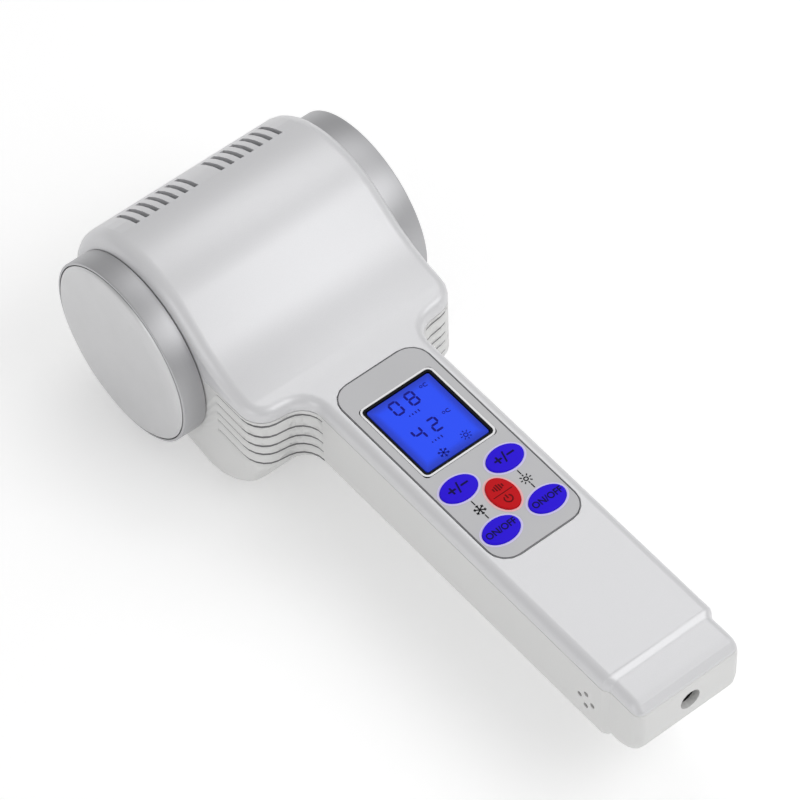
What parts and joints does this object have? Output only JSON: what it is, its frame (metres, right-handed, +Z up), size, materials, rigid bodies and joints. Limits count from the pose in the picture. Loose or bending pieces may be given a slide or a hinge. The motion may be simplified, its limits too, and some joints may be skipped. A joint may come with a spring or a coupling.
{
  "type": "hot and cold facial device",
  "caption": "Hammer-shaped hand-held facial device: a drum with a chilled plate at one end and a heated plate at the other, on a straight handle with a display and push keys.",
  "frame": {"origin": "middle of the bounding box's base, under the device as it lies on its back with the keys up", "axes": "+X along the drum towards the heated plate, +Y from the handle's free end to the drum, +Z up out of the side with the keys"},
  "size_m": [0.0804, 0.201, 0.06],
  "materials": {
    "pearl_shell": "satin pearl",
    "white_shell": "semi-gloss",
    "plate_metal": "satin",
    "chrome_ring": "polished",
    "black_plastic": "matte",
    "module_ceramic": "matte",
    "sink_aluminium": "satin",
    "screw_steel": "satin",
    "heater_film": "matte",
    "motor_steel": "satin",
    "brass": "satin",
    "panel_grey": "satin",
    "display_black": "gloss",
    "display_blue": "gloss",
    "key_blue": "satin",
    "key_red": "satin",
    "board_green": "satin",
    "wire_red": "satin",
    "wire_yellow": "satin",
    "wire_black": "satin"
  },
  "bodies": {
    "housing": {"upper_shell": "pearl_shell", "lower_shell": "white_shell", "cold_plate": "plate_metal", "cold_ring": "chrome_ring", "cold_collar": "black_plastic", "hot_plate": "plate_metal", "hot_ring": "chrome_ring", "hot_collar": "black_plastic", "cooling_module": "module_ceramic", "heat_sink": "sink_aluminium", "fan_frame": "black_plastic", "fan_screw_1": "screw_steel", "fan_screw_2": "screw_steel", "fan_screw_3": "screw_steel", "fan_screw_4": "screw_steel", "heater_element": "heater_film", "heater_backing_plate": "sink_aluminium", "cold_thermistor": "black_plastic", "hot_thermistor": "black_plastic", "vibration_motor": "motor_steel", "motor_clamp": "black_plastic", "control_panel": "panel_grey", "display_frame": "display_black", "display_window": "display_blue", "display_module": "white_shell", "cold_temperature_switch": "black_plastic", "warm_temperature_switch": "black_plastic", "cold_start_switch": "black_plastic", "warm_start_switch": "black_plastic", "vibration_switch": "black_plastic", "circuit_board": "board_green", "board_screw_1": "screw_steel", "board_screw_2": "screw_steel", "controller_chip": "black_plastic", "board_capacitor": "display_black", "housing_screw_left": "screw_steel", "housing_screw_right": "screw_steel", "housing_screw_end": "screw_steel", "power_socket": "black_plastic", "socket_pin": "brass", "buzzer": "black_plastic", "module_lead": "wire_red", "heater_lead": "wire_red", "motor_lead": "wire_yellow", "fan_lead": "wire_black", "socket_lead": "wire_red", "buzzer_lead": "wire_black"},
    "cold_temperature_button": {"cold_temperature_key": "key_blue"},
    "warm_temperature_button": {"warm_temperature_key": "key_blue"},
    "cold_start_button": {"cold_start_key": "key_blue"},
    "warm_start_button": {"warm_start_key": "key_blue"},
    "vibration_button": {"vibration_key": "key_red"},
    "fan": {"fan_rotor": "black_plastic"},
    "vibration_weight": {"eccentric_weight": "brass"}
  },
  "joints": [
    {"name": "cold_temperature_press", "type": "slide", "parent": "housing", "child": "cold_temperature_button", "axis": [0, 0, -1], "range_m": [0, 0.00055], "stiffness_N_per_m": 1500},
    {"name": "warm_temperature_press", "type": "slide", "parent": "housing", "child": "warm_temperature_button", "axis": [0, 0, -1], "range_m": [0, 0.00055], "stiffness_N_per_m": 1500},
    {"name": "cold_start_press", "type": "slide", "parent": "housing", "child": "cold_start_button", "axis": [0, 0, -1], "range_m": [0, 0.00055], "stiffness_N_per_m": 1500},
    {"name": "warm_start_press", "type": "slide", "parent": "housing", "child": "warm_start_button", "axis": [0, 0, -1], "range_m": [0, 0.00055], "stiffness_N_per_m": 1500},
    {"name": "vibration_press", "type": "slide", "parent": "housing", "child": "vibration_button", "axis": [0, 0, -1], "range_m": [0, 0.00055], "stiffness_N_per_m": 1500},
    {"name": "fan_spin", "type": "hinge", "parent": "housing", "child": "fan", "pos_m": [-0.0102, 0.0705, 0.03], "axis": [1, 0, 0], "continuous": true},
    {"name": "weight_spin", "type": "hinge", "parent": "housing", "child": "vibration_weight", "pos_m": [0.00645, 0.0705, 0.03], "axis": [1, 0, 0], "continuous": true}
  ]
}
